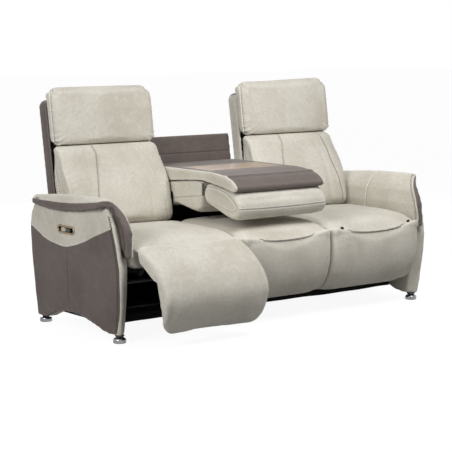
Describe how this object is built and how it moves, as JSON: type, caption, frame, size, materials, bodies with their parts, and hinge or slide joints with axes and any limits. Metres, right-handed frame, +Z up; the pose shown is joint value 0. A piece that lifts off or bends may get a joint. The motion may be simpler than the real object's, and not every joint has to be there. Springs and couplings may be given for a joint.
{
  "type": "reclining sofa with drop-down console",
  "caption": "Three-seat sofa: reclining side backs, powered footrests, rolled wing arms, and a middle back that folds down into a table console.",
  "frame": {"origin": "on the floor, under the middle of the whole sofa's bounding box", "axes": "+X to the right of someone facing the sofa's front, along its length; +Y towards the back; +Z up"},
  "size_m": [2.012, 1.0956, 1.1527],
  "materials": {
    "cream_cover": "matte",
    "taupe_cover": "matte",
    "tray_wood": "gloss",
    "timber": "satin",
    "black_board": "matte",
    "black_steel": "satin",
    "black_plastic": "matte",
    "silver_plastic": "gloss",
    "bronze_trim": "satin",
    "chrome": "polished"
  },
  "bodies": {
    "base": {"left_arm_core": "timber", "left_arm_side_panel": "taupe_cover", "left_arm_yoke": "cream_cover", "left_arm_wing_pad": "cream_cover", "left_arm_wing_band": "taupe_cover", "left_control_bezel": "bronze_trim", "left_front_foot": "chrome", "left_rear_foot": "chrome", "left_inner_frame": "black_steel", "left_outer_frame": "black_steel", "left_seat_deck": "black_board", "left_seat_cushion": "cream_cover", "left_footrest_motor": "black_plastic", "left_back_motor": "black_plastic", "right_arm_core": "timber", "right_arm_side_panel": "taupe_cover", "right_arm_yoke": "cream_cover", "right_arm_wing_pad": "cream_cover", "right_arm_wing_band": "taupe_cover", "right_control_bezel": "bronze_trim", "right_front_foot": "chrome", "right_rear_foot": "chrome", "right_inner_frame": "black_steel", "right_outer_frame": "black_steel", "right_seat_deck": "black_board", "right_seat_cushion": "cream_cover", "right_footrest_motor": "black_plastic", "right_back_motor": "black_plastic", "front_rail": "black_steel", "rear_rail": "black_steel", "rear_cover": "taupe_cover", "rear_panel": "taupe_cover", "middle_seat_deck": "timber", "middle_seat_cushion": "cream_cover", "middle_apron_pad": "cream_cover"},
    "left_footrest": {"left_footrest_pad": "cream_cover", "left_footrest_board": "black_steel"},
    "left_drive": {"left_drive_shaft": "black_steel"},
    "left_link": {"left_drive_link": "black_steel"},
    "left_back": {"left_back_shell": "taupe_cover", "left_back_frame": "timber", "left_back_cushion": "cream_cover"},
    "left_headrest": {"left_headrest": "cream_cover"},
    "left_recline_switch": {"left_recline_button": "silver_plastic"},
    "left_footrest_switch": {"left_footrest_button": "black_plastic"},
    "right_footrest": {"right_footrest_pad": "cream_cover", "right_footrest_board": "black_steel"},
    "right_drive": {"right_drive_shaft": "black_steel"},
    "right_link": {"right_drive_link": "black_steel"},
    "right_back": {"right_back_shell": "taupe_cover", "right_back_frame": "timber", "right_back_cushion": "cream_cover"},
    "right_headrest": {"right_headrest": "cream_cover"},
    "right_recline_switch": {"right_recline_button": "silver_plastic"},
    "right_footrest_switch": {"right_footrest_button": "black_plastic"},
    "console": {"console_shell": "taupe_cover", "console_frame": "timber", "console_cushion": "cream_cover", "console_tray": "tray_wood"},
    "console_headrest": {"console_headrest": "cream_cover"}
  },
  "joints": [
    {"name": "left_footrest_hinge", "type": "hinge", "parent": "base", "child": "left_footrest", "pos_m": [-0.587, -0.31325, 0.438], "axis": [-1, 0, 0], "range_deg": [-60, 28]},
    {"name": "left_drive_shaft_turn", "type": "hinge", "parent": "base", "child": "left_drive", "pos_m": [-0.587, -0.15425, 0.268], "axis": [-1, 0, 0], "range_deg": [-60, 28]},
    {"name": "left_link_pivot", "type": "hinge", "parent": "left_drive", "child": "left_link", "pos_m": [-0.369, -0.21337, 0.1744], "axis": [-1, 0, 0], "range_deg": [-28, 60]},
    {"name": "left_back_recline", "type": "hinge", "parent": "base", "child": "left_back", "pos_m": [-0.587, 0.37075, 0.372], "axis": [-1, 0, 0], "range_deg": [0, 25]},
    {"name": "left_headrest_tilt", "type": "hinge", "parent": "left_back", "child": "left_headrest", "pos_m": [-0.587, 0.42817, 0.89266], "axis": [1, 0, 0], "range_deg": [0, 20]},
    {"name": "left_recline_press", "type": "slide", "parent": "base", "child": "left_recline_switch", "axis": [1, 0, 0], "range_m": [0, 0.0015], "stiffness_N_per_m": 1200},
    {"name": "left_footrest_press", "type": "slide", "parent": "base", "child": "left_footrest_switch", "axis": [1, 0, 0], "range_m": [0, 0.0015], "stiffness_N_per_m": 1200},
    {"name": "right_footrest_hinge", "type": "hinge", "parent": "base", "child": "right_footrest", "pos_m": [0.587, -0.31325, 0.438], "axis": [-1, 0, 0], "range_deg": [0, 88]},
    {"name": "right_drive_shaft_turn", "type": "hinge", "parent": "base", "child": "right_drive", "pos_m": [0.587, -0.15425, 0.268], "axis": [-1, 0, 0], "range_deg": [0, 88]},
    {"name": "right_link_pivot", "type": "hinge", "parent": "right_drive", "child": "right_link", "pos_m": [0.369, -0.10275, 0.17], "axis": [-1, 0, 0], "range_deg": [-88, 0]},
    {"name": "right_back_recline", "type": "hinge", "parent": "base", "child": "right_back", "pos_m": [0.587, 0.37075, 0.372], "axis": [-1, 0, 0], "range_deg": [0, 25]},
    {"name": "right_headrest_tilt", "type": "hinge", "parent": "right_back", "child": "right_headrest", "pos_m": [0.587, 0.42817, 0.89266], "axis": [1, 0, 0], "range_deg": [0, 20]},
    {"name": "right_recline_press", "type": "slide", "parent": "base", "child": "right_recline_switch", "axis": [-1, 0, 0], "range_m": [0, 0.0015], "stiffness_N_per_m": 1200},
    {"name": "right_footrest_press", "type": "slide", "parent": "base", "child": "right_footrest_switch", "axis": [-1, 0, 0], "range_m": [0, 0.0015], "stiffness_N_per_m": 1200},
    {"name": "console_fold", "type": "hinge", "parent": "base", "child": "console", "pos_m": [0, 0.27075, 0.6], "axis": [-1, 0, 0], "range_deg": [0, 80.5]},
    {"name": "console_headrest_tilt", "type": "hinge", "parent": "console", "child": "console_headrest", "pos_m": [0, -0.02461, 0.6668], "axis": [1, 0, 0], "range_deg": [0, 7]}
  ],
  "couplings": [
    {"joint": "left_drive_shaft_turn", "follows": "left_footrest_hinge", "ratio": 1},
    {"joint": "left_link_pivot", "follows": "left_footrest_hinge", "ratio": -1},
    {"joint": "right_drive_shaft_turn", "follows": "right_footrest_hinge", "ratio": 1},
    {"joint": "right_link_pivot", "follows": "right_footrest_hinge", "ratio": -1}
  ]
}
